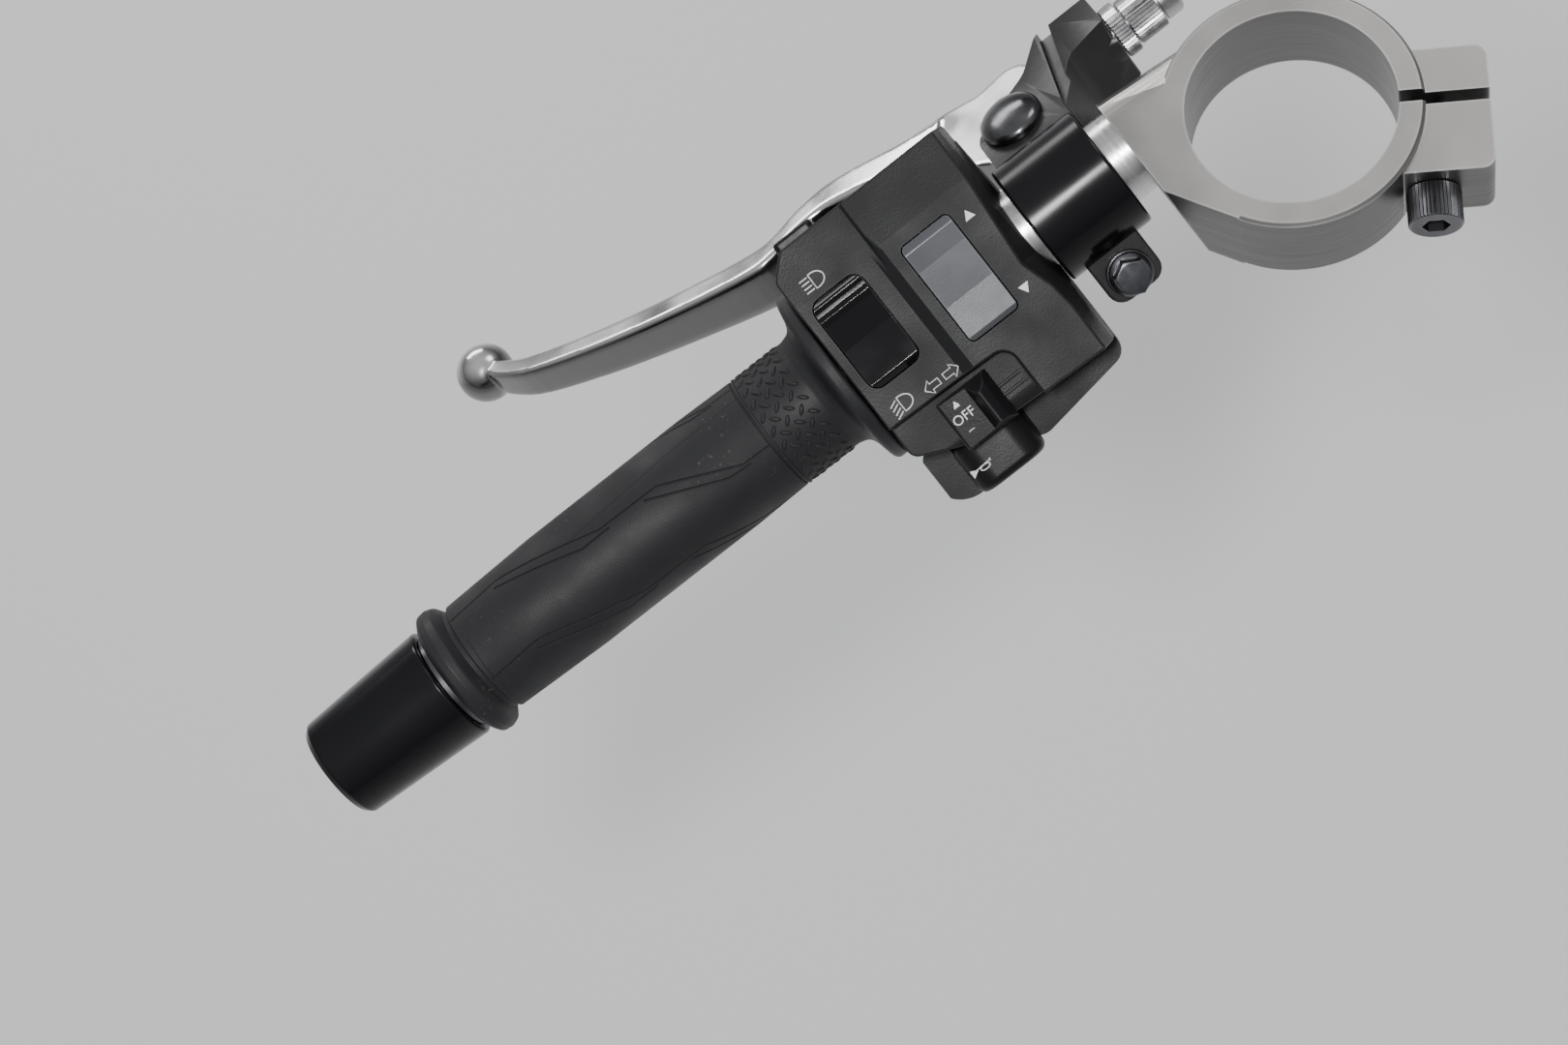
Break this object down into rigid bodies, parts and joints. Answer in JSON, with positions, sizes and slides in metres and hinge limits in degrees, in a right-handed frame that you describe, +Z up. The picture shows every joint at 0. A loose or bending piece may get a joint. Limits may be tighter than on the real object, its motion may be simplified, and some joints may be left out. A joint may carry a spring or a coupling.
{
  "type": "left clip-on handlebar unit",
  "caption": "Motorcycle clip-on handlebar, left side: split fork clamp, drooped bar tube, hinged clutch lever, switch housing, rubber grip and bar-end weight.",
  "frame": {"origin": "centre of the fork clamp's bore", "axes": "+Z up along the fork tube, +Y forwards on the motorcycle, -X outwards along the bar"},
  "size_m": [0.3214, 0.1575, 0.1135],
  "materials": {
    "clamp_aluminium": "bare satin, brushed round",
    "bar_metal": "satin silver tube",
    "perch_black": "gloss black",
    "lever_polished": "polished",
    "dark_steel": "black oxide",
    "zinc_steel": "bright plated",
    "housing_plastic": "fine moulded grain",
    "rocker_black": "gloss",
    "rocker_grey": "semi-gloss grey",
    "grip_rubber": "matt moulded",
    "weight_black": "high gloss black"
  },
  "bodies": {
    "bar_unit": {"clip_on_clamp": "clamp_aluminium", "pinch_bolt": "dark_steel", "bar_tube": "bar_metal", "lever_perch": "perch_black", "perch_washer": "dark_steel", "perch_bolt": "dark_steel", "lever_pivot_bolt": "dark_steel", "lever_pivot_nut": "dark_steel", "cable_adjuster": "zinc_steel", "adjuster_lock_ring": "zinc_steel", "switch_housing_upper": "housing_plastic", "switch_housing_lower": "housing_plastic", "select_rocker": "rocker_grey", "dimmer_rocker": "rocker_black", "turn_slider": "rocker_black", "horn_button": "rocker_black", "pass_trigger": "rocker_black", "grip": "grip_rubber", "bar_end_spacer": "dark_steel", "bar_end_weight": "weight_black", "bar_end_screw": "dark_steel"},
    "lever": {"clutch_lever": "lever_polished"}
  },
  "joints": [
    {"name": "clutch_pull", "type": "hinge", "parent": "bar_unit", "child": "lever", "pos_m": [-0.04887, 0.04092, -0.01578], "axis": [-0.1676, 0.5, 0.8496], "range_deg": [0, 16]}
  ]
}
